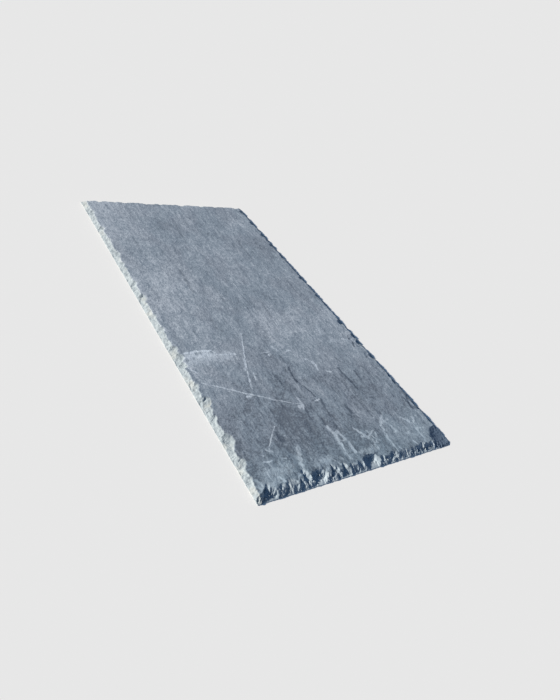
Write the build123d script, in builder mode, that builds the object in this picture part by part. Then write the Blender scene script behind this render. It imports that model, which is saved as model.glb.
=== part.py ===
import os
import random
from math import atan2, cos, degrees, hypot, radians

from build123d import *

os.makedirs("parts", exist_ok=True)

# A natural roofing slate lying face up. Its tail is towards -Y and its bed is on Z = 0.
length = 500.0
width = 250.0
thickness = 6.0

# The edges are dressed from the bed side: a bevel breaks away all round, and every blow of the
# dressing tool spalls a scoop off the face side on top of it. Each bevel's reach is in from the edge.
bevel_foot = 1.3
tail_bevel = 7.5
right_bevel = 8.0
head_bevel = 5.5
left_bevel = 5.0
blow_spacing = 12.0
tail_blow_spacing = 7.5
large_spacing = 30.0

# Large spalls along the lower edges, which stay bare in use: place from the tail's left corner or
# from the tail, width on the face, reach in from the edge, height left at it, and turn from square.
tail_spalls = (
    (8.5, 8.0, 13.5, 1.0, 20),
    (16.0, 20.0, 11.5, 1.8, 8),
    (26.0, 12.0, 9.5, 1.0, 10),
    (38.0, 12.0, 10.0, 1.0, -8),
    (47.0, 11.0, 13.0, 0.8, 12),
    (57.0, 9.0, 9.0, 0.9, 0),
    (83.0, 12.0, 9.0, 1.1, 0),
    (91.5, 14.0, 12.5, 0.6, 4),
    (103.5, 13.0, 14.0, 0.6, 0),
    (115.5, 16.0, 12.0, 0.9, -6),
    (151.0, 11.0, 11.5, 0.5, 4),
    (181.0, 16.0, 9.6, 0.8, 10),
    (206.0, 14.0, 10.0, 0.9, 12),
    (221.0, 10.0, 9.5, 0.7, 6),
)
left_spalls = (
    (24.0, 16.0, 6.0, 1.2, 10),
    (42.0, 22.0, 9.0, 1.3, 22),
    (66.0, 25.0, 11.2, 1.2, 15),
    (94.0, 14.0, 7.0, 1.2, 10),
    (103.0, 16.0, 7.6, 1.0, 15),
    (113.5, 17.0, 11.8, 1.3, 32),
    (135.0, 12.0, 8.6, 1.4, 26),
    (166.0, 14.0, 8.4, 1.0, 10),
    (178.0, 22.0, 9.4, 0.9, 10),
    (191.0, 14.0, 8.6, 0.9, 12),
)
right_spalls = (
    (33.0, 22.0, 9.5, 1.0, 0),
    (57.0, 24.0, 10.5, 0.9, -8),
    (95.0, 30.0, 9.3, 1.0, 0),
    (120.0, 24.0, 9.2, 1.0, 6),
    (140.0, 20.0, 12.0, 0.9, 5),
    (166.0, 20.0, 13.0, 0.8, -8),
    (178.0, 16.0, 11.0, 0.9, 8),
)

# Hollow spalls of the tail, deepest inside the edge: place, width, reach and height left at the edge.
tail_bowls = ((68.5, 20.0, 12.5, 1.0), (134.0, 25.0, 14.5, 0.8), (164.0, 16.0, 10.5, 1.2))

# Shallow flakes with a flat floor on the bare edges: place, width, reach and depth under the face.
tail_flakes = ((47.0, 26.0, 16.0, 0.5), (88.0, 34.0, 19.0, 0.5), (151.0, 30.0, 15.0, 0.45))
left_flakes = ((14.0, 16.0, 10.5, 0.5), (48.0, 22.0, 9.5, 0.6))
right_flakes = ((62.0, 26.0, 14.0, 0.7), (140.0, 18.0, 16.0, 0.5), (168.0, 26.0, 18.0, 0.6))

# The tail's right corner is knocked off.
corner_inset = 1.5
corner_span = 38.0
corner_reach = 16.5
corner_height = 0.6


def edge_spalls(start, stop, spacing, bevel, bare, seed):
    """A spall for each blow along an edge, the large ones of its bare part and chance ones beyond."""
    chance = random.Random(seed)
    spalls = []
    count = max(3, round((stop - start) / spacing))
    for index in range(count):
        place = start + (index + chance.uniform(0, 1)) * (stop - start) / count
        span = spacing * chance.uniform(0.9, 2.4)
        reach = bevel * chance.uniform(0.6, 1.15)
        height = bevel_foot * chance.uniform(0.4, 1.1)
        spalls.append((place, span, reach, height, chance.uniform(-25, 25)))
    large = [spall for spall in bare if spall[0] + spall[1] / 2 < stop]
    beyond = max((spall[0] + spall[1] for spall in large), default=start)
    for index in range(int((stop - beyond) / large_spacing)):
        place = beyond + (index + chance.uniform(0.3, 0.7)) * large_spacing
        span = large_spacing * chance.uniform(0.4, 0.7)
        reach = bevel * chance.uniform(1.1, 1.6)
        height = bevel_foot * chance.uniform(0.3, 0.8)
        large.append((place, span, reach, height, chance.uniform(-35, 35)))
    return spalls + large


def scoop(frame, place, span, reach, height, turn):
    """A cylinder whose lowest line climbs from the edge to the face, as wide on the face as the spall."""
    slope = atan2((thickness - height) * cos(radians(turn)), reach)
    rise = (thickness - height) * cos(slope)
    radius = ((span / 2) ** 2 + rise**2) / (2 * rise)
    turned = Location((place, 0, height), (0, 0, -turn))
    lie = turned * Location((0, 0, 0), (degrees(slope) - 90, 0, 0)) * Location((0, -radius, 0))
    return frame * lie * Cylinder(radius, 3 * reach + 4 * thickness, mode=Mode.PRIVATE)


def bowl(frame, place, span, reach, height):
    """A ball that cuts an arc into the face, this wide along the edge, and leaves this height at it."""
    rim = ((span / 2) ** 2 + reach**2) / (2 * reach)
    inside = reach - rim
    centre = (rim**2 - inside**2 + thickness**2 - height**2) / (2 * (thickness - height))
    radius = hypot(rim, centre - thickness)
    return frame * Location((place, inside, centre)) * Sphere(radius, mode=Mode.PRIVATE)


def flake(frame, place, span, reach, depth):
    """An upright cylinder that takes the face down to a flake's floor, inside an arc."""
    radius = ((span / 2) ** 2 + reach**2) / (2 * reach)
    lie = Location((place, reach - radius, thickness - depth))
    align = (Align.CENTER, Align.CENTER, Align.MIN)
    return frame * lie * Cylinder(radius, thickness, align=align, mode=Mode.PRIVATE)


# Each edge's frame starts at one end of the edge and has Y inwards. The left edge's frame runs
# from the head to the tail, so its places and turns are counted back.
tail_frame = Plane(origin=(-width / 2, -length / 2, 0), x_dir=(1, 0, 0), z_dir=(0, 0, 1))
right_frame = Plane(origin=(width / 2, -length / 2, 0), x_dir=(0, 1, 0), z_dir=(0, 0, 1))
head_frame = Plane(origin=(width / 2, length / 2, 0), x_dir=(-1, 0, 0), z_dir=(0, 0, 1))
left_frame = Plane(origin=(-width / 2, length / 2, 0), x_dir=(0, -1, 0), z_dir=(0, 0, 1))
corner_frame = Plane(
    origin=(width / 2 - corner_inset, -length / 2 + corner_inset, 0), x_dir=(1, 1, 0), z_dir=(0, 0, 1)
)

# The blows stop short of the knocked corner.
clear = corner_span / 2 + corner_inset
scoops = [scoop(corner_frame, 0, corner_span, corner_reach, corner_height, 0)]
for frame, start, stop, spacing, bevel, bare_spalls, seed in (
    (tail_frame, 0, width - clear, tail_blow_spacing, tail_bevel, tail_spalls, 1),
    (right_frame, clear, length, blow_spacing, right_bevel, right_spalls, 2),
    (head_frame, 0, width, blow_spacing, head_bevel, (), 3),
):
    for spall in edge_spalls(start, stop, spacing, bevel, bare_spalls, seed):
        scoops.append(scoop(frame, *spall))
for place, *sizes, turn in edge_spalls(0, length, blow_spacing, left_bevel, left_spalls, 4):
    scoops.append(scoop(left_frame, length - place, *sizes, -turn))

hollows = [bowl(tail_frame, *spall) for spall in tail_bowls if spall[0] + spall[1] / 2 < width]
hollows += [flake(tail_frame, *sizes) for sizes in tail_flakes if sizes[0] < width]
hollows += [flake(right_frame, *sizes) for sizes in right_flakes if sizes[0] < length]
hollows += [flake(left_frame, length - place, *sizes) for place, *sizes in left_flakes if place < length]

with BuildPart() as slate:
    with BuildSketch():
        Rectangle(width, length)
    extrude(amount=bevel_foot)
    with BuildSketch(Plane.XY.offset(bevel_foot)):
        Rectangle(width, length)
    with BuildSketch(Plane.XY.offset(thickness)):
        with Locations(((left_bevel - right_bevel) / 2, (tail_bevel - head_bevel) / 2)):
            Rectangle(width - left_bevel - right_bevel, length - tail_bevel - head_bevel)
    loft(ruled=True)
    add(hollows, mode=Mode.SUBTRACT)
    for first in range(3):
        add(scoops[first::3], mode=Mode.SUBTRACT)

slate.part.label = "slate"
export_step(slate.part, "parts/slate.step")
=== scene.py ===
import math
import random

import bmesh
import bpy
import numpy as np
from mathutils import Matrix, Quaternion, Vector


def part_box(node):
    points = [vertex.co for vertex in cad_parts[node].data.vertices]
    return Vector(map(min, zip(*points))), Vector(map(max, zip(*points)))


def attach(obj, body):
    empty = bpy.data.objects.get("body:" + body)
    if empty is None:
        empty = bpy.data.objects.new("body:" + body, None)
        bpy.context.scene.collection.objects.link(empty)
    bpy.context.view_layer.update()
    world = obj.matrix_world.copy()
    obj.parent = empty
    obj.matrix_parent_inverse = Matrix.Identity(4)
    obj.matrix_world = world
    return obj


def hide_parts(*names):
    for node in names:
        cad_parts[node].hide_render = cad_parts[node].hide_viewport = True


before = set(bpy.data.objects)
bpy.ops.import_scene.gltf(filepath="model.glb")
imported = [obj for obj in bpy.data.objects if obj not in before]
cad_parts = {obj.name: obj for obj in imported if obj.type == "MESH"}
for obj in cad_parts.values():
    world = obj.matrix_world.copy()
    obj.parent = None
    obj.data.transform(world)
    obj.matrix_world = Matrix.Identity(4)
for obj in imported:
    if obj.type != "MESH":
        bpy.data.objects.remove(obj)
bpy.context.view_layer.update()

MM = 0.001
slate_low, slate_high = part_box("slate")
WIDTH, LENGTH, THICKNESS = ((slate_high - slate_low) / MM)[:]
HALF_W, HALF_L = WIDTH / 2, LENGTH / 2

# Sizes are in millimetres unless they say otherwise. The dressed edges are those of the part's
# source, but the tail's blows are closer together and most of its large spalls are shallower.
BEVEL_FOOT = 1.3
TAIL_BEVEL = 7.5
RIGHT_BEVEL = 8.0
HEAD_BEVEL = 5.5
LEFT_BEVEL = 5.0
BLOW_SPACING = 12.0
TAIL_BLOW_SPACING = 5.0
LARGE_SPACING = 30.0

# Large spalls along the lower edges, which stay bare in use: place from the tail's left corner or
# from the tail, width on the face, reach in from the edge, height left at it, and degrees of turn.
TAIL_SPALLS = (
    (6.5, 6.5, 15.0, 1.3, 37),
    (18.0, 12.0, 11.0, 2.6, 0),
    (29.0, 18.0, 11.5, 3.6, -4),
    (38.5, 22.0, 18.0, 4.4, 4),
    (47.5, 6.0, 10.5, 1.6, 10),
    (57.0, 13.0, 20.0, 3.0, -4),
    (86.5, 10.0, 16.5, 3.0, 4),
    (90.0, 5.0, 12.0, 1.2, 5),
    (100.5, 8.0, 13.0, 1.0, 0),
    (110.0, 16.0, 11.0, 3.4, -6),
    (119.0, 12.0, 12.0, 2.8, 8),
    (148.5, 6.0, 10.5, 1.2, 4),
    (158.0, 14.0, 8.0, 3.4, -10),
    (181.0, 22.0, 10.5, 3.6, 10),
    (206.0, 20.0, 10.5, 3.6, 12),
    (219.5, 7.0, 9.0, 1.2, 6),
)
LEFT_SPALLS = (
    (24.0, 16.0, 6.0, 1.2, 10),
    (42.0, 22.0, 9.0, 1.3, 22),
    (66.0, 25.0, 11.2, 1.2, 15),
    (94.0, 14.0, 7.0, 1.2, 10),
    (103.0, 16.0, 7.6, 1.0, 15),
    (113.5, 18.0, 11.8, 2.4, 26),
    (135.0, 12.0, 8.6, 1.4, 26),
    (166.0, 14.0, 8.4, 1.0, 10),
    (178.0, 22.0, 9.4, 0.9, 10),
    (191.0, 14.0, 8.6, 0.9, 12),
)
RIGHT_SPALLS = (
    (33.0, 22.0, 9.5, 1.0, 0),
    (57.0, 24.0, 10.5, 0.9, -8),
    (95.0, 30.0, 9.3, 1.0, 0),
    (120.0, 24.0, 9.2, 1.0, 6),
    (140.0, 20.0, 12.0, 0.9, 5),
    (166.0, 20.0, 13.0, 0.8, -8),
    (178.0, 16.0, 11.0, 0.9, 8),
)

# Hollow spalls of the tail, deepest inside the edge: place, width, reach and height left at it.
TAIL_BOWLS = ((70.0, 23.0, 14.0, 1.2), (134.0, 25.0, 14.5, 0.8), (164.0, 18.0, 9.5, 2.8))

# Shallow flakes with a flat floor on the bare edges: place, width, reach and depth under the face.
TAIL_FLAKES = ((47.0, 26.0, 16.0, 0.5), (88.0, 34.0, 19.0, 0.5), (151.0, 30.0, 15.0, 0.45))
LEFT_FLAKES = ((14.0, 16.0, 10.5, 0.5), (48.0, 22.0, 9.5, 0.6))
RIGHT_FLAKES = ((62.0, 26.0, 14.0, 0.7), (140.0, 18.0, 16.0, 0.5), (168.0, 26.0, 18.0, 0.6))

# The tail's right corner is knocked off, with a hollow like the tail's on top.
CORNER_INSET = 1.5
CORNER_SPAN = 38.0
CORNER_REACH = 16.5
CORNER_HEIGHT = 0.6
CORNER_BOWL = (0.0, 44.0, 27.0, 1.6)
# How far in the mesh gives way as the outline's corner is pulled in.
CORNER_GIVE = 12.0

# Breaks and flakes end within this distance from their edge.
BREAK_REACH = 32.0
# Least and most width of the grooves between the ribs of broken stone, and how far the grooves
# run on past both ends of an edge, because they lean.
COARSE_GROOVES = (2.2, 6.5)
FINE_GROOVES = (1.2, 3.0)
GROOVE_SPARE = 60.0
# How far in the mesh gives way under the uneven outline.
OUTLINE_GIVE = 4.0
# The mean depth of the riven face under the top of the box, which leaves room for its waves.
FACE_DEPTH = 0.26
# The mean height of the thinnest lip that a break leaves.
LIP = 0.6

# The plate's cells along X and Y before they are cut finer. The part that stays bare is cut finer
# than the covered part, and bands along the edges are cut finer than the rest.
CELLS = (44, 88)
BARE_LENGTH = 206.0
FINER_BAND = 10.0
BARE_FINE_BAND = 14.0
COVERED_FINE_BAND = 5.0
FINEST_BAND = 5.0

# The stone's own leaves, thin and thick, counted up from the bed.
LEAF_LEAST, LEAF_MOST = 0.35, 1.1
chance = random.Random(7)
LEAVES = [0.0]
while LEAVES[-1] < THICKNESS:
    LEAVES.append(LEAVES[-1] + chance.uniform(LEAF_LEAST, LEAF_MOST))

# Low steps of the face: start and end from the tail's left corner, the bow to the left of the way
# between them, and the drop to the right.
STEPS = (
    ((120, 142), (124, 100), -6.0, 0.26),
    ((181, 131), (185, 97), -2.4, 0.16),
    ((199, 118), (198, 102), -1.0, 0.14),
    ((155, 82), (145, 54), 0.2, 0.22),
    ((131, 93), (127, 78), -1.1, 0.15),
    ((125, 70), (122, 48), -2.1, 0.18),
    ((54, 66), (56, 46), -2.0, 0.2),
    ((60, 113), (58, 95), -2.0, 0.14),
    ((173, 80), (172, 58), -1.5, 0.14),
    ((195, 82), (194, 68), -1.5, 0.14),
    ((104, 82), (102, 64), -2.1, 0.12),
    ((214, 122), (214, 95), -3.0, 0.12),
    ((63, 42), (55, 3), -0.1, -0.34),
    ((96, 52), (94, 30), -3.1, 0.1),
    ((33, 85), (34, 58), -2.6, 0.1),
    ((150, 250), (149, 205), -5.4, 0.15),
    ((70, 330), (68, 270), -5.0, 0.14),
    ((190, 400), (188, 330), -5.9, 0.16),
    ((110, 440), (107, 380), -5.5, 0.14),
)


def edge_spalls(start, stop, spacing, bevel, bare, seed):
    """A spall for each blow along an edge, its large spalls, and chance large ones beyond them."""
    chance = random.Random(seed)
    spalls = []
    count = max(3, round((stop - start) / spacing))
    for index in range(count):
        place = start + (index + chance.uniform(0, 1)) * (stop - start) / count
        span = spacing * chance.uniform(0.9, 2.4)
        reach = bevel * chance.uniform(0.6, 1.15)
        height = BEVEL_FOOT * chance.uniform(0.4, 1.1)
        spalls.append((place, span, reach, height, chance.uniform(-25, 25)))
    large = [spall for spall in bare if spall[0] + spall[1] / 2 < stop]
    beyond = max((spall[0] + spall[1] for spall in large), default=start)
    for index in range(int((stop - beyond) / LARGE_SPACING)):
        place = beyond + (index + chance.uniform(0.3, 0.7)) * LARGE_SPACING
        span = LARGE_SPACING * chance.uniform(0.4, 0.7)
        reach = bevel * chance.uniform(1.1, 1.6)
        height = BEVEL_FOOT * chance.uniform(0.3, 0.8)
        large.append((place, span, reach, height, chance.uniform(-35, 35)))
    return spalls + large


# Chance relief


def bumps(x, y, size, seed):
    """Smooth chance values from about -1 to 1, with bumps of this size."""
    cells = 128
    turn = np.random.default_rng(seed).uniform(0, 2 * math.pi, (cells, cells))
    u, v = np.asarray(x) / size, np.asarray(y) / size
    i, j = np.floor(u).astype(int), np.floor(v).astype(int)
    f, g = u - i, v - j

    def corner(a, b):
        angle = turn[(i + a) % cells, (j + b) % cells]
        return np.cos(angle) * (f - a) + np.sin(angle) * (g - b)

    s, t = f**3 * (f * (6 * f - 15) + 10), g**3 * (g * (6 * g - 15) + 10)
    low = corner(0, 0) * (1 - s) + corner(1, 0) * s
    high = corner(0, 1) * (1 - s) + corner(1, 1) * s
    return 1.5 * (low * (1 - t) + high * t)


def ease(low, high, value):
    """0 below low, 1 above high and a smooth step between."""
    part = np.clip((value - low) / (high - low), 0, 1)
    return part * part * (3 - 2 * part)


def arc(start, end, bow):
    """Centre and radius of the arc between two points that bows to the left of its way."""
    length = math.dist(start, end)
    left = ((start[1] - end[1]) / length, (end[0] - start[0]) / length)
    radius = (length**2 / 4 + bow**2) / (2 * abs(bow))
    back = bow - math.copysign(radius, bow)
    return tuple((start[i] + end[i]) / 2 + back * left[i] for i in (0, 1)), radius


def leafed(height):
    """Turns a slope into treads and risers along the stone's leaves."""
    index = np.clip(np.searchsorted(LEAVES, height, side="right") - 1, 0, len(LEAVES) - 2)
    low, high = np.take(LEAVES, index), np.take(LEAVES, index + 1)
    return low + (high - low) * ease(0.3, 0.75, (height - low) / (high - low))


# The dressed edges


class Edge:
    """A dressed edge: s runs along it from its start and d runs in from it."""

    def __init__(self, start, along, inwards, run, seed, ribs):
        self.start, self.along, self.inwards = np.array(start), np.array(along), np.array(inwards)
        self.run, self.seed, self.ribs = run, seed, ribs
        self.bevel, self.spalls, self.bowls, self.flakes = None, [], (), ()
        self.coarse, self.fine = self.ridges(*COARSE_GROOVES, 50), self.ridges(*FINE_GROOVES, 60)

    def ridges(self, least, most, seed):
        """Places of sharp ridges side by side, and a depth for the groove after each."""
        chance = random.Random(self.seed + seed)
        places = [-GROOVE_SPARE]
        while places[-1] < self.run + GROOVE_SPARE:
            places.append(places[-1] + chance.uniform(least, most))
        return places, [chance.uniform(0.1, 1.0) for place in places]

    def local(self, x, y):
        """Turns places on the slate into s and d."""
        across = np.stack([x - self.start[0], y - self.start[1]])
        return self.along @ across, self.inwards @ across

    def warp(self, s, d):
        """Shifts places by a little, so that no break has a ruled outline."""
        seed = self.seed * 10 + 100
        a = s + 1.1 * bumps(s, d, 8.0, seed) + 0.6 * bumps(s, d, 2.6, seed + 1)
        b = d + 1.0 * bumps(s, d, 7.0, seed + 2) + 0.6 * bumps(s, d, 2.4, seed + 3)
        return a, b

    def grooved(self, across, ridges):
        """Depth of hollow grooves between sharp ridges."""
        places, depths = ridges
        index = np.clip(np.searchsorted(places, across) - 1, 0, len(places) - 2)
        low, high = np.take(places, index), np.take(places, index + 1)
        part = (across - low) / (high - low)
        return np.take(depths, index) * np.sqrt(np.clip(4 * part * (1 - part), 0, 1)) * (high - low)

    def bevelled(self, s, d):
        """The height that the bevel and the spalls leave."""
        low = np.full_like(d, 2 * THICKNESS)
        if self.bevel:
            low = BEVEL_FOOT + (THICKNESS - BEVEL_FOOT) * d / self.bevel
        for place, span, reach, height, turn in self.spalls:
            turn = math.radians(turn)
            slope = math.atan2((THICKNESS - height) * math.cos(turn), reach)
            rise = (THICKNESS - height) * math.cos(slope)
            radius = ((span / 2) ** 2 + rise**2) / (2 * rise)
            u = (s - place) * math.cos(turn) - d * math.sin(turn)
            v = (s - place) * math.sin(turn) + d * math.cos(turn)
            lift = radius - np.sqrt(np.maximum(radius**2 - u**2, 0))
            floor = height + math.tan(slope) * v + lift / math.cos(slope)
            low = np.where(np.abs(u) < radius, np.minimum(low, floor), low)
        for place, span, reach, height in self.bowls:
            rim = ((span / 2) ** 2 + reach**2) / (2 * reach)
            inside = reach - rim
            centre = (rim**2 - inside**2 + THICKNESS**2 - height**2) / (2 * (THICKNESS - height))
            radius = math.hypot(rim, centre - THICKNESS)
            under = radius**2 - (s - place) ** 2 - (d - inside) ** 2
            low = np.where(under > 0, np.minimum(low, centre - np.sqrt(np.maximum(under, 0))), low)
        return low

    def flaked(self, s, d):
        """The height of the floors that the flakes leave."""
        low = np.full_like(d, THICKNESS)
        for place, span, reach, depth in self.flakes:
            radius = ((span / 2) ** 2 + reach**2) / (2 * reach)
            inside = radius - np.hypot(s - place, d - reach + radius)
            inside = inside + 1.2 * bumps(s, d, 5, self.seed + 81)
            low = np.minimum(low, THICKNESS - depth * ease(-0.6, 2.2, inside))
        return low

    def surface(self, s, d):
        """Height of the broken surface, and of the flakes' floors."""
        a, b = self.warp(s, d)
        low = self.bevelled(a, b)
        depth = THICKNESS - low
        bite = ease(0.0, 1.2, depth) * (1 - 0.35 * ease(4.2, 5.6, depth))
        lean = 0.9 * bumps(s, d, 18, self.seed + 61)
        coarse = self.grooved(a - lean * b, self.coarse)
        fine = self.grooved(a + lean * b, self.fine)
        patchy = 0.4 + 1.2 * ease(-0.3, 0.3, bumps(s, d, 5.0, self.seed + 62))
        low = low - self.ribs * bite * (0.2 * coarse + 0.5 * fine * patchy)
        stone = low + 0.45 * bumps(s, d, 8.0, self.seed + 71)
        stone = stone + (0.2 + 0.1 * self.ribs) * bumps(s, d, 2.4, self.seed + 72)
        low = np.where(depth > 0, low + 0.6 * (leafed(stone) - stone), low)
        return low, self.flaked(a, b)

    def knock_in(self, x, y):
        """Moves the outline in by a little, unevenly, and what is near it along."""
        s, d = self.local(x, y)
        inset = 0.25 + 0.25 * bumps(s, 0, 6.0, self.seed + 91)
        inset = np.maximum(inset + 0.2 * bumps(s, 0, 1.9, self.seed + 92), 0)
        shift = np.where(d < OUTLINE_GIVE, inset * (1 - d / OUTLINE_GIVE), 0)
        return x + self.inwards[0] * shift, y + self.inwards[1] * shift


# The blows of the tail and the right edge stop short of the knocked corner.
CLEAR = CORNER_SPAN / 2 + CORNER_INSET
TAIL = Edge((-HALF_W, -HALF_L), (1, 0), (0, 1), WIDTH, seed=1, ribs=1.5)
TAIL.bevel, TAIL.flakes, TAIL.bowls = TAIL_BEVEL, TAIL_FLAKES, TAIL_BOWLS
TAIL.spalls = edge_spalls(0, WIDTH - CLEAR, TAIL_BLOW_SPACING, TAIL_BEVEL, TAIL_SPALLS, TAIL.seed)
RIGHT = Edge((HALF_W, -HALF_L), (0, 1), (-1, 0), LENGTH, seed=2, ribs=0.6)
RIGHT.bevel, RIGHT.flakes = RIGHT_BEVEL, RIGHT_FLAKES
RIGHT.spalls = edge_spalls(CLEAR, LENGTH, BLOW_SPACING, RIGHT_BEVEL, RIGHT_SPALLS, RIGHT.seed)
HEAD = Edge((HALF_W, HALF_L), (-1, 0), (0, -1), WIDTH, seed=3, ribs=0.8)
HEAD.bevel = HEAD_BEVEL
HEAD.spalls = edge_spalls(0, WIDTH, BLOW_SPACING, HEAD_BEVEL, (), HEAD.seed)
LEFT = Edge((-HALF_W, -HALF_L), (0, 1), (1, 0), LENGTH, seed=4, ribs=0.4)
LEFT.bevel, LEFT.flakes = LEFT_BEVEL, LEFT_FLAKES
LEFT.spalls = edge_spalls(0, LENGTH, BLOW_SPACING, LEFT_BEVEL, LEFT_SPALLS, LEFT.seed)
DIAGONAL = math.sqrt(0.5)
CORNER_START = (HALF_W - CORNER_INSET, -HALF_L + CORNER_INSET)
CORNER = Edge(CORNER_START, (DIAGONAL, DIAGONAL), (-DIAGONAL, DIAGONAL), 0, seed=5, ribs=0.15)
CORNER.spalls = [(0.0, CORNER_SPAN, CORNER_REACH, CORNER_HEIGHT, 0.0)]
CORNER.bowls = (CORNER_BOWL,)
EDGES = (TAIL, RIGHT, HEAD, LEFT)


def from_edge(centre):
    """How far a point is from the nearest edge."""
    return min(HALF_W - abs(centre.x), HALF_L - abs(centre.y))


def bare(centre):
    """Whether a point is on the part that stays bare in use, or close to it."""
    return centre.y < -HALF_L + BARE_LENGTH


def select_zone(slate, wanted):
    """Selects the face side's wanted cells, and the rim's edges along the outline beside them."""
    mesh = bmesh.from_edit_mesh(slate.data)
    for face in mesh.faces:
        centre = face.calc_center_median() / MM
        if not wanted(centre):
            continue
        if face.normal.z > 0.5:
            face.select_set(True)
        elif face.normal.z > -0.5:
            for side in face.edges:
                if abs(side.verts[0].co.z - side.verts[1].co.z) < 1e-6:
                    side.select_set(True)
    bmesh.update_edit_mesh(slate.data)


def slate_blank():
    """A plate of even cells, cut finer on the bare face and finest along the bare edges."""
    bpy.ops.object.select_all(action="DESELECT")
    bpy.ops.mesh.primitive_grid_add(x_subdivisions=CELLS[0], y_subdivisions=CELLS[1], size=1)
    slate = bpy.context.object
    slate.name = slate.data.name = "riven_slate"
    slate.scale = (WIDTH * MM, LENGTH * MM, 1)
    bpy.ops.object.transform_apply(location=False, rotation=False, scale=True)
    bpy.ops.object.mode_set(mode="EDIT")
    bpy.ops.mesh.select_mode(type="FACE")
    bpy.ops.mesh.select_all(action="SELECT")
    bpy.ops.mesh.extrude_region_move(TRANSFORM_OT_translate={"value": (0, 0, THICKNESS * MM)})
    bpy.ops.mesh.select_all(action="SELECT")
    bpy.ops.mesh.normals_make_consistent(inside=False)
    bpy.ops.mesh.select_mode(type="EDGE")
    for zone in (
        lambda centre: True,
        lambda centre: bare(centre) or from_edge(centre) < FINER_BAND,
        lambda centre: from_edge(centre) < (BARE_FINE_BAND if bare(centre) else COVERED_FINE_BAND),
        lambda centre: from_edge(centre) < FINEST_BAND and bare(centre),
    ):
        bpy.ops.mesh.select_all(action="DESELECT")
        select_zone(slate, zone)
        bpy.ops.mesh.subdivide(number_cuts=1, ngon=False)
    bpy.ops.object.mode_set(mode="OBJECT")
    return slate


def stepped(x, y):
    """How far the face drops beside its low steps."""
    x, y = x + HALF_W + 0.8 * bumps(x, y, 8, 81), y + HALF_L
    drop = np.zeros_like(x)
    for start, end, bow, height in STEPS:
        centre, radius = arc(start, end, bow)
        reach = math.dist(start, end) / 2
        away = np.hypot(x - centre[0], y - centre[1]) - radius
        side = 1 if (centre[0] < start[0]) == (height > 0) else -1
        along = np.hypot(x - (start[0] + end[0]) / 2, y - (start[1] + end[1]) / 2)
        near = 1 - ease(0.6 * reach, 1.15 * reach, along)
        drop += abs(height) * near * ease(-1.0, 1.0, side * away) * (1 - ease(4, 16, side * away))
    return drop


def rive(slate):
    """Gives the blank its riven face and bed and its dressed edges."""
    points = np.empty(len(slate.data.vertices) * 3)
    slate.data.vertices.foreach_get("co", points)
    x, y, level = points.reshape(-1, 3).T / MM
    level = level / THICKNESS
    on_rim = (HALF_W - np.abs(x) < 1e-3) | (HALF_L - np.abs(y) < 1e-3)

    # The outline, a little uneven, with one corner knocked off.
    for side in EDGES:
        x, y = side.knock_in(x, y)
    s, d = CORNER.local(x, y)
    outer = CORNER_INSET * math.sqrt(2) - np.abs(s)
    pull = outer * (CORNER_GIVE - d) / (CORNER_GIVE + outer)
    pull = np.where((outer > 0) & (d < CORNER_GIVE), pull, 0)
    x, y = x + CORNER.inwards[0] * pull, y + CORNER.inwards[1] * pull

    # The face: broad waves, ripples along the grain, ledges and low steps.
    grain = x + 6 * bumps(x, y, 90, 21)
    waves = 0.14 * bumps(x, y, 75, 22) + 0.09 * bumps(x, y / 1.5, 24, 23)
    ripples = 0.10 * bumps(grain, y / 2.6, 11, 24) + 0.045 * bumps(grain, y / 1.7, 6.0, 26)
    ledges = 0.2 * ease(-0.05, 0.1, bumps(grain, y / 4.5, 16, 25))
    ledges = ledges * ease(-0.3, 0.4, bumps(x, y, 45, 27))
    face = THICKNESS - FACE_DEPTH + waves + ripples - ledges - stepped(x, y)
    face = np.minimum(face, THICKNESS)

    # The edges, in whose broken stone the leaves show.
    broken = np.full_like(x, THICKNESS)
    floor = np.full_like(x, THICKNESS)
    for side in (*EDGES, CORNER):
        s, d = side.local(x, y)
        near = d < BREAK_REACH
        low, tread = side.surface(s[near], d[near])
        broken[near] = np.minimum(broken[near], low)
        floor[near] = np.minimum(floor[near], tread)
    tread = face - (THICKNESS - floor)
    top = np.minimum(tread, broken)
    depth = tread - top
    spalled = ease(0.05, 0.35, depth)
    top = top + spalled * (0.12 * bumps(x, y, 1.6, 33) + 0.16 * bumps(x, y, 4.2, 34))
    top = np.clip(top, LIP + 0.25 * bumps(x, y, 3.0, 35), THICKNESS)

    # The bed: flat, with shallow hollows.
    bed = 0.25 * ease(0.1, 0.8, bumps(x, y, 26, 41)) + 0.08 * ease(0, 1, bumps(x, y, 12, 42))
    bed = np.where(on_rim, 0, bed)
    z = bed * (1 - level) + top * level

    # Where fresh stone shows: in the breaks and on the upright rim.
    fresh = np.where(level > 0.99, spalled, np.where(on_rim, 1.0, 0.0))
    slate.data.vertices.foreach_set("co", (np.stack([x, y, z], 1) * MM).ravel())
    layer = slate.data.attributes.new("fresh", "FLOAT", "POINT")
    layer.data.foreach_set("value", fresh)
    slate.data.update()


SMOOTH_ANGLE = math.radians(32)
slate = slate_blank()
rive(slate)
bpy.ops.object.select_all(action="DESELECT")
slate.select_set(True)
bpy.context.view_layer.objects.active = slate
bpy.ops.object.shade_smooth_by_angle(angle=SMOOTH_ANGLE)


# Materials


class Wire:
    """A shader socket that Python arithmetic can be written on."""

    def __init__(self, tree, socket):
        self.tree, self.socket = tree, socket

    def math(self, operation, *others):
        values = {f"in{index}": value for index, value in enumerate((self, *others))}
        return add_node(self.tree, "ShaderNodeMath", {"operation": operation}, **values)

    def __add__(self, other):
        return self.math("ADD", other)

    def __sub__(self, other):
        return self.math("SUBTRACT", other)

    def __rsub__(self, other):
        settings = {"operation": "SUBTRACT"}
        return add_node(self.tree, "ShaderNodeMath", settings, in0=other, in1=self)

    def __mul__(self, other):
        return self.math("MULTIPLY", other)

    def __truediv__(self, other):
        return self.math("DIVIDE", other)

    __radd__ = __add__
    __rmul__ = __mul__


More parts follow.
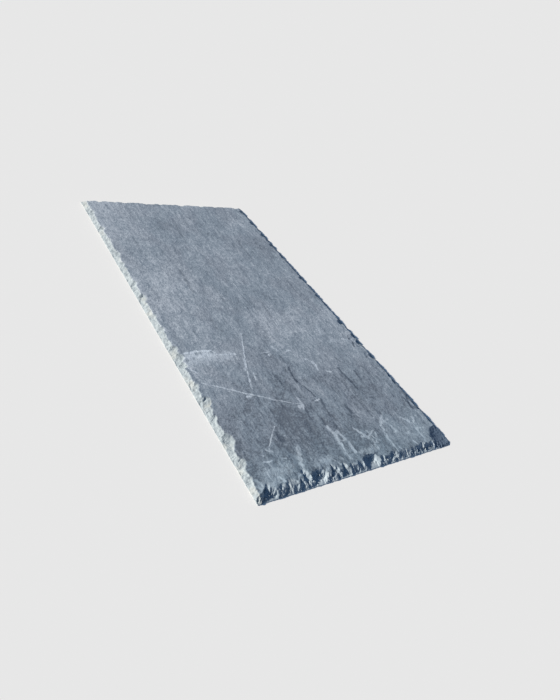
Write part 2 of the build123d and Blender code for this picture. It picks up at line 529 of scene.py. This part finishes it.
def add_node(tree, kind, settings=None, output=0, **values):
    """A node with its settings, then the values or links of its sockets, named or as in0, in1."""
    node = tree.nodes.new(kind)
    for name, value in (settings or {}).items():
        setattr(node, name, value)
    for name, value in values.items():
        number = name[2:] if name.startswith("in") and name[2:].isdigit() else None
        socket = node.inputs[int(number)] if number else node.inputs[name.replace("_", " ")]
        if isinstance(value, Wire):
            tree.links.new(value.socket, socket)
        else:
            socket.default_value = value
    return Wire(tree, node.outputs[output])


def plain_material(name, colour, roughness):
    """One dull colour without any shine."""
    material = bpy.data.materials.new(name)
    material.use_nodes = True
    shader = material.node_tree.nodes["Principled BSDF"]
    shader.inputs["Base Color"].default_value = (*colour, 1)
    shader.inputs["Roughness"].default_value = roughness
    shader.inputs["Specular IOR Level"].default_value = 0
    return material


# Scratches and chalky scuffs of the face: width, strength, and points from the tail's left corner.
PALE_MARKS = (
    (0.7, 0.9, (91, 203), (74, 162), (65.5, 138.5), (60, 121)),
    (0.7, 0.65, (73.5, 142), (70.5, 131)),
    (0.8, 0.6, (11.5, 139), (27.5, 130), (45, 119), (60, 111), (75, 102), (89, 95), (101, 90)),
    (0.8, 0.7, (45, 119), (60, 111)),
    (0.9, 0.6, (7, 162), (13, 153)),
    (1.5, 0.7, (73.5, 163), (66.5, 147)),
    (1.4, 0.7, (65, 138), (61, 124)),
    (2.0, 1.0, (10, 182), (27, 183), (43, 182.5)),
    (1.6, 0.7, (42, 175), (67, 173)),
    (6.0, 0.75, (14, 176), (40, 176.5)),
    (8.0, 0.4, (12, 169), (30, 171), (58, 173)),
    (2.2, 0.85, (150, 150), (155, 143)),
    (1.9, 0.85, (156, 142), (153, 132)),
    (1.4, 0.65, (163, 128), (168, 126)),
    (1.2, 0.75, (121, 90.5), (126, 91.5)),
    (1.6, 0.7, (101.5, 98), (103, 90), (100.5, 83)),
    (2.4, 0.6, (97, 86), (103, 87)),
    (0.7, 0.6, (57, 70), (48, 60), (37, 47)),
    (1.3, 0.7, (49, 112), (53, 112)),
    (1.3, 0.7, (106, 164), (109, 166)),
    (0.9, 0.55, (99, 169.5), (110, 169)),
    (1.4, 0.6, (131, 167), (136, 168)),
    (2.2, 0.45, (118, 176), (121, 170)),
    (3.4, 0.3, (199, 174), (212, 173)),
    (1.4, 0.35, (201, 205), (196, 186)),
    (2.2, 0.6, (112, 55), (114, 44), (112, 30), (112, 15)),
    (1.9, 0.6, (119, 47), (123, 33), (122, 20)),
    (1.8, 0.45, (114, 38), (120, 35)),
    (1.4, 0.4, (117, 46), (111, 52)),
    (1.8, 0.55, (140, 47), (145, 38), (151, 27), (151, 18)),
    (1.6, 0.5, (142, 34), (150, 33), (160, 38)),
    (1.6, 0.5, (161, 34), (155, 24), (147, 22)),
    (1.3, 0.4, (153, 40), (155, 30), (161, 25)),
    (1.8, 0.55, (186, 54), (180, 48), (174, 42)),
    (1.6, 0.5, (176, 44), (172.5, 31), (171, 22)),
    (1.6, 0.55, (172, 22), (171, 8)),
    (1.6, 0.45, (183, 47), (187, 38), (188, 30)),
    (1.4, 0.35, (180, 45), (190, 47)),
    (1.6, 0.55, (209, 45), (217, 35), (216, 24)),
    (1.5, 0.5, (224, 41), (217, 33)),
    (1.6, 0.45, (216, 24), (215, 8)),
    (1.3, 0.35, (212, 30), (222, 27)),
    (2.4, 0.26, (200, 26), (208, 20)),
    (2.4, 0.4, (67, 42), (62, 31)),
    (2.6, 0.45, (61, 30), (57, 18), (56, 7)),
    (1.0, 0.65, (25, 35), (33, 34)),
    (1.2, 0.6, (44, 34), (48, 33)),
    (0.9, 0.6, (27, 42), (28, 41)),
    (1.5, 0.7, (30, 17), (33, 12), (39, 8)),
    (1.2, 0.45, (33, 26), (37, 21)),
    (1.4, 0.45, (33, 47), (39, 43)),
    (1.2, 0.45, (39, 8), (47, 9), (51, 15)),
    (1.8, 0.5, (80, 10), (84, 18), (90, 20)),
    (1.6, 0.5, (94, 18), (98, 12)),
    (1.8, 0.4, (100, 19), (104, 16)),
    (1.4, 0.5, (75, 12), (77, 7)),
    (5.0, 0.3, (8, 12), (14, 16)),
    (8.0, 0.3, (22, 21), (44, 23)),
    (5.0, 0.35, (20, 13), (30, 18)),
    (5.0, 0.35, (76, 17), (92, 21)),
    (5.0, 0.3, (137, 17), (150, 20)),
    (1.5, 0.4, (126, 18), (132, 19)),
    (1.2, 0.55, (176, 12), (179, 5)),
    (1.2, 0.55, (199, 14), (203, 6)),
    (1.6, 0.5, (227, 11), (233, 17), (240, 25)),
    (1.3, 0.4, (239, 64), (241, 58)),
    (1.2, 0.45, (236, 50), (238, 46)),
    (1.6, 0.4, (222, 176), (226, 172)),
    (1.8, 0.3, (238, 120), (240, 100)),
)
# Pale places on the tail's broken stone, partly fresh chips and partly painted light on facets that
# face the key light, in the same form.
CHIPS_AND_LIT_FACETS = (
    (2.0, 0.5, (49.0, 1), (50.5, 11)),
    (5.5, 0.4, (55, 4), (57.5, 17)),
    (5.5, 0.6, (72, 0), (77, 8)),
    (4.0, 0.6, (75.5, 8), (79, 13)),
    (4.0, 0.4, (80, 4), (89, 2)),
    (3.0, 0.4, (94, 3), (96.5, 12)),
    (6.0, 0.25, (136, 0), (141, 9)),
    (2.5, 0.5, (170, 1), (174, 4)),
    (2.5, 0.4, (178, 1), (184, 4)),
    (2.5, 0.4, (197, 0), (203, 7)),
    (4.2, 1.0, (223.5, 9), (225, 1)),
)
# Painted shade beside the face's low steps and the right edge's flake risers, and cracks, in the
# same form.
STEP_SHADE_AND_CRACKS = (
    (2.0, 0.9, (119, 142), (117, 133)),
    (1.4, 0.9, (118, 136), (116, 126), (116, 119)),
    (0.9, 0.85, (116, 121), (120, 113), (122.5, 106), (124, 96)),
    (1.8, 0.7, (128, 91), (126, 80)),
    (1.3, 0.6, (126, 80), (124.5, 66), (122.5, 52)),
    (1.8, 0.55, (103, 84), (101, 72)),
    (1.2, 0.45, (101, 72), (100, 60)),
    (1.3, 0.4, (80, 94), (80.5, 71), (81, 46)),
    (1.0, 0.45, (51, 99), (52.5, 80)),
    (1.2, 0.45, (60, 111), (59, 98)),
    (2.6, 0.7, (54, 63), (56, 52)),
    (1.4, 0.5, (57, 52), (60, 42)),
    (0.9, 0.6, (168, 122), (171, 110)),
    (0.9, 0.6, (171, 110), (172, 102), (170, 95)),
    (1.3, 0.75, (181, 130), (182.5, 115), (183.5, 108)),
    (1.4, 0.7, (183, 112), (184, 93)),
    (1.3, 0.5, (200, 122), (199, 110)),
    (1.5, 0.45, (199, 108), (198, 98)),
    (2.0, 0.5, (217, 122), (217, 112)),
    (1.4, 0.4, (217, 110), (218, 102)),
    (1.1, 0.5, (152.5, 106), (154, 88)),
    (2.8, 0.7, (151, 76), (153, 66)),
    (2.0, 0.5, (149, 66), (150, 60)),
    (0.9, 0.7, (154, 70), (157.5, 50)),
    (1.2, 0.55, (172.5, 73), (174, 55)),
    (1.1, 0.45, (185, 74), (184, 56)),
    (1.8, 0.5, (193, 80), (196, 76)),
    (1.4, 0.35, (30, 84), (31, 55)),
    (1.2, 0.35, (39, 83), (40, 66)),
    (1.3, 0.45, (98, 134), (96, 120)),
    (1.4, 0.5, (119, 162), (119, 151)),
    (1.5, 0.4, (89, 91), (91, 72)),
    (1.2, 0.35, (91, 66), (91, 50)),
    (1.4, 0.45, (130, 150), (132, 140)),
    (1.6, 0.4, (33, 41), (38, 36)),
    (1.3, 0.45, (95, 48), (93, 26)),
    (1.2, 0.4, (70, 62), (73, 34)),
    (1.2, 0.35, (200, 60), (203, 42)),
    (1.2, 0.35, (64, 92), (65, 70)),
    (1.1, 0.35, (110, 84), (112, 64)),
    (1.1, 0.35, (138, 84), (139, 66)),
    (1.3, 0.35, (47, 62), (48, 46)),
    (1.4, 0.75, (235, 181), (231, 173)),
    (1.5, 0.75, (234, 169), (229, 160)),
    (1.2, 0.6, (240, 142), (232, 139)),
    (1.5, 0.75, (235, 72), (236, 60), (235, 52)),
    (1.2, 0.5, (234, 120), (238, 116)),
    (1.8, 0.3, (150, 262), (146, 225)),
    (1.8, 0.4, (70, 330), (68, 282)),
    (1.6, 0.4, (190, 400), (188, 352)),
    (1.8, 0.3, (110, 440), (107, 395)),
    (1.4, 0.35, (215, 300), (214, 262)),
    (1.6, 0.3, (38, 412), (36, 370)),
    (1.4, 0.3, (100, 300), (99, 262)),
    (1.4, 0.3, (160, 352), (158, 312)),
)

# Colours of the weathered face, and of the painted shade by its low steps.
FACE_BLUE = (0.199, 0.246, 0.304)
FACE_GREY = (0.205, 0.244, 0.300)
FACE_DEEP = (0.105, 0.128, 0.165)
FACE_PALE = (0.40, 0.45, 0.52)
FACE_SPECKS = (0.46, 0.51, 0.57)
STEP_SHADE_DARK = (0.050, 0.068, 0.100)
PALE_LINES = (0.52, 0.59, 0.68)
LOW_TINT = (0.92, 0.99, 1.0)
# Colours of the broken stone, with its painted shade and painted light.
STONE_DULL = (0.188, 0.230, 0.267)
STONE_BRIGHT = (0.322, 0.374, 0.412)
STONE_GRIT = (0.15, 0.175, 0.20)
STONE_WARM = (0.42, 0.42, 0.39)
STONE_TAIL_SKY_SHADE = (0.275, 0.345, 0.42)
STONE_CORNER_SHADE = (0.060, 0.100, 0.165)
STONE_CHIP_LIGHT = (0.38, 0.45, 0.52)


def segment_group():
    """A node group that draws one ragged, straight piece of a mark over what is drawn already."""
    group = bpy.data.node_groups.new("segment", "ShaderNodeTree")
    for name in ("Spot", "Start", "End"):
        group.interface.new_socket(name, in_out="INPUT", socket_type="NodeSocketVector")
    for name in ("Width", "Strength", "Chalk", "Under"):
        group.interface.new_socket(name, in_out="INPUT", socket_type="NodeSocketFloat")
    group.interface.new_socket("Drawn", in_out="OUTPUT", socket_type="NodeSocketFloat")
    given = group.nodes.new("NodeGroupInput").outputs[:7]
    spot, start, end, width, strength, chalk, under = (Wire(group, socket) for socket in given)

    def vector(operation, first, second, output=0):
        settings = {"operation": operation}
        return add_node(group, "ShaderNodeVectorMath", settings, output, in0=first, in1=second)

    out, way = vector("SUBTRACT", spot, start), vector("SUBTRACT", end, start)
    part = vector("DOT_PRODUCT", out, way, 1) / vector("DOT_PRODUCT", way, way, 1)
    part = part.math("MINIMUM", 1.0).math("MAXIMUM", 0.0)
    reach = add_node(group, "ShaderNodeVectorMath", {"operation": "SCALE"}, in0=way, Scale=part)
    ragged = vector("DISTANCE", out, reach, 1) + (0.5 - chalk) * width * 5.0
    settings = {"interpolation_type": "SMOOTHSTEP"}
    limits = {"in1": width * 1.3, "in2": width * 0.1}
    mark = add_node(group, "ShaderNodeMapRange", settings, in0=ragged, **limits)
    drawn = (mark * strength).math("MAXIMUM", under)
    group.links.new(drawn.socket, group.nodes.new("NodeGroupOutput").inputs[0])
    return group


def slate_material():
    """Weathered slate, whose colour, shine and fine relief come from Object coordinates."""
    material = bpy.data.materials.new("weathered_slate")
    material.use_nodes = True
    tree = material.node_tree
    shader = tree.nodes["Principled BSDF"]
    place = add_node(tree, "ShaderNodeTexCoord", output=3)
    fresh = add_node(tree, "ShaderNodeAttribute", {"attribute_name": "fresh"}, 2)

    def vector(operation, *values, output=0):
        values = {f"in{index}": value for index, value in enumerate(values)}
        return add_node(tree, "ShaderNodeVectorMath", {"operation": operation}, output, **values)

    def noise(scale, detail=3.0, stretch=(1, 1, 1), rough=0.55, shift=(0, 0, 0)):
        """Chance values from 0 to 1, with bumps of about 1 / scale metres."""
        spread = add_node(tree, "ShaderNodeMapping", in0=place, in1=shift, in3=stretch)
        values = {"Scale": scale, "Detail": detail, "Roughness": rough}
        return add_node(tree, "ShaderNodeTexNoise", in0=spread, **values)

    def mix(factor, first, second):
        """The first colour where factor is 0, the second where it is 1."""
        pair = [(*colour, 1) if isinstance(colour, tuple) else colour for colour in (first, second)]
        values = {"in0": factor, "in6": pair[0], "in7": pair[1]}
        return add_node(tree, "ShaderNodeMix", {"data_type": "RGBA"}, 2, **values)

    def between(value, low, high):
        """0 to 1 as value goes from low to high."""
        settings = {"interpolation_type": "SMOOTHSTEP"}
        return add_node(tree, "ShaderNodeMapRange", settings, in0=value, in1=low, in2=high)

    # Millimetres from the tail's left corner, a little uneven so that marks aren't ruled lines.
    corner = vector("MULTIPLY_ADD", place, (1000, 1000, 0), (HALF_W, HALF_L, 0))
    uneven = add_node(tree, "ShaderNodeTexNoise", output=1, in0=place, Scale=170.0, Detail=4.0)
    spot = vector("ADD", corner, vector("MULTIPLY_ADD", uneven, (2.6, 2.6, 0), (-1.3, -1.3, 0)))
    chalk = noise(280, 5, (1, 0.7, 1), 0.65)
    segment = segment_group()

    def drawn(marks):
        """The strongest of the marks at each place. One node group draws each piece of them."""
        drawing = 0.0
        for width, strength, *points in marks:
            for start, end in zip(points, points[1:]):
                values = {"Spot": spot, "Start": (*start, 0), "End": (*end, 0), "Width": width}
                values |= {"Strength": strength, "Chalk": chalk, "Under": drawing}
                drawing = add_node(tree, "ShaderNodeGroup", {"node_tree": segment}, **values)
        return drawing

    across = vector("DOT_PRODUCT", corner, (1, 0, 0), output=1)
    along = vector("DOT_PRODUCT", corner, (0, 1, 0), output=1)
    cloud = noise(12, 3)
    patch = noise(55, 4, (1, 0.5, 1))
    grain = noise(130, 4, (1, 0.42, 1), 0.62)
    ticks = noise(230, 3, (1, 0.28, 1), 0.6, (0.3, 0.1, 0))
    mottle = noise(230, 5, (1, 0.8, 1), 0.65)
    fine = noise(520, 4)
    grit = noise(1000, 3)

    # The face: paler up the slate and to the left as painted sheen, and paler at the tail's right,
    # in clouds, patches and fine grain, then its specks and marks. Places are millimetres along and
    # across the slate.
    tone_and_sheen = 0.80 + between(along, 40, 200) * 0.30 + (cloud - 0.5) * 1.0 + (patch - 0.5) * 0.7
    tone_and_sheen = tone_and_sheen + (1 - between(across, 10, 90)) * between(along, 80, 180) * 0.22
    tone_and_sheen = tone_and_sheen + between(across, 150, 230) * (1 - between(along, 20, 90)) * 0.14
    tone_and_sheen = tone_and_sheen + (grain - 0.5) * 0.7 + (mottle - 0.5) * 1.4 + (fine - 0.5) * 1.5
    dark_ticks = between(ticks, 0.56, 0.72) * between(patch, 0.35, 0.6)
    tone_and_sheen = tone_and_sheen * (1 - dark_ticks * 0.3)
    shade = noise(30, 3, (1, 0.6, 1), 0.5, (0.7, 0.2, 0))
    face = mix(between(shade, 0.42, 0.62), FACE_BLUE, FACE_GREY)
    face = mix(between(tone_and_sheen, 0.45, 1.0), FACE_DEEP, face)
    face = mix(between(tone_and_sheen, 0.95, 1.65) * 0.85, face, FACE_PALE)
    specks = between(mottle, 0.60, 0.76) * between(patch, 0.40, 0.60)
    face = mix(specks * 0.42, face, FACE_SPECKS)
    # Painted shade along the low steps and flake risers, with the cracks, darkens the face.
    face = mix(drawn(STEP_SHADE_AND_CRACKS), face, STEP_SHADE_DARK)
    face = mix(drawn(PALE_MARKS), face, PALE_LINES)
    face = mix(between(along, 70, 10), face, vector("MULTIPLY", face, LOW_TINT))

    # The broken stone: pale and a little warm, with painted bluish shade along the tail, which
    # faces away from the key light, and painted dark shade at the knocked corner.
    crumbs = noise(200, 5, (1, 1, 3))
    stone = mix(between(crumbs, 0.32, 0.68), STONE_DULL, STONE_BRIGHT)
    stone = mix(between(grit, 0.52, 0.75) * 0.45, stone, STONE_GRIT)
    stone = mix(between(noise(60, 2), 0.5, 0.7) * 0.35, stone, STONE_WARM)
    by_corner = vector("DISTANCE", spot, (WIDTH, 0, 0), output=1)
    # Painted bluish shade of the sky on the tail's broken stone.
    tail_shade = between(along, 26, 16) * between(across, 8, 14)
    stone = mix(tail_shade * 0.55, stone, STONE_TAIL_SKY_SHADE)
    # Painted dark shade on the knocked corner's facet.
    stone = mix(between(by_corner, 34, 26) * 0.85, stone, STONE_CORNER_SHADE)
    # Painted light on the tail's lit facets, together with its fresh pale chips.
    stone = mix(drawn(CHIPS_AND_LIT_FACETS), stone, STONE_CHIP_LIGHT)

    colour = mix(fresh, face, stone)
    tree.links.new(colour.socket, shader.inputs["Base Color"])
    roughness = 0.58 + fine * 0.18 + fresh * 0.14
    tree.links.new(roughness.socket, shader.inputs["Roughness"])
    relief = mottle * 0.8 + grain * 0.9 + ticks * 0.6 + fine * 0.3 + grit * 0.1
    bump = add_node(tree, "ShaderNodeBump", Strength=1.0, Distance=0.0007, Height=relief)
    tree.links.new(bump.socket, shader.inputs["Normal"])
    return material


slate.data.materials.append(slate_material())
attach(slate, "root")
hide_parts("slate")

# Floor, light and camera. The key light and the room's light add up to 1 on a level surface.

PALE = (0.80, 0.80, 0.80)
FLOOR_METRES = 60
bpy.ops.object.select_all(action="DESELECT")
bpy.ops.mesh.primitive_plane_add(size=FLOOR_METRES)
floor = bpy.context.object
floor.name = "floor"
floor.data.materials.append(plain_material("pale_floor", PALE, 0.9))

ROOM_LIGHT = Vector((0.10, 0.17, 0.28))
KEY_LIGHT = Vector((1, 1, 1)) - ROOM_LIGHT
KEY_FROM = Vector((-0.80, 0.42, 0.40)).normalized()
KEY_SPREAD = math.radians(4)
key = bpy.data.objects.new("key", bpy.data.lights.new("key", "SUN"))
key.data.energy = math.pi / KEY_FROM.z
key.data.angle = KEY_SPREAD
key.data.color = KEY_LIGHT
key.rotation_euler = KEY_FROM.to_track_quat("Z", "Y").to_euler()
bpy.context.scene.collection.objects.link(key)

world = bpy.data.worlds.new("room")
bpy.context.scene.world = world
world.use_nodes = True
tree = world.node_tree
room = tree.nodes["Background"]
room.inputs["Color"].default_value = (*ROOM_LIGHT, 1)
lit = Wire(tree, room.outputs[0])
backdrop = add_node(tree, "ShaderNodeBackground", Color=(*PALE, 1))
seen = add_node(tree, "ShaderNodeLightPath")
shown = add_node(tree, "ShaderNodeMixShader", in0=seen, in1=lit, in2=backdrop)
tree.links.new(shown.socket, tree.nodes["World Output"].inputs["Surface"])

# The photograph's camera: its place in metres, its way, its roll and its focal length.
EYE = Vector((-0.3620, -0.4414, 0.3672))
LOOK = Vector((1, 1, -1))
ROLL = math.radians(22.7)
FOCAL_PIXELS, PHOTO_PIXELS, SENSOR = 561, 700, 36
camera = bpy.data.objects.new("camera", bpy.data.cameras.new("camera"))
bpy.context.scene.collection.objects.link(camera)
aim = LOOK.to_track_quat("-Z", "Y") @ Quaternion((0, 0, 1), ROLL)
camera.matrix_world = Matrix.Translation(EYE) @ aim.to_matrix().to_4x4()
camera.data.lens = SENSOR * FOCAL_PIXELS / PHOTO_PIXELS
camera.data.clip_start = 0.01
bpy.context.scene.camera = camera
bpy.context.scene.view_settings.view_transform = "Standard"
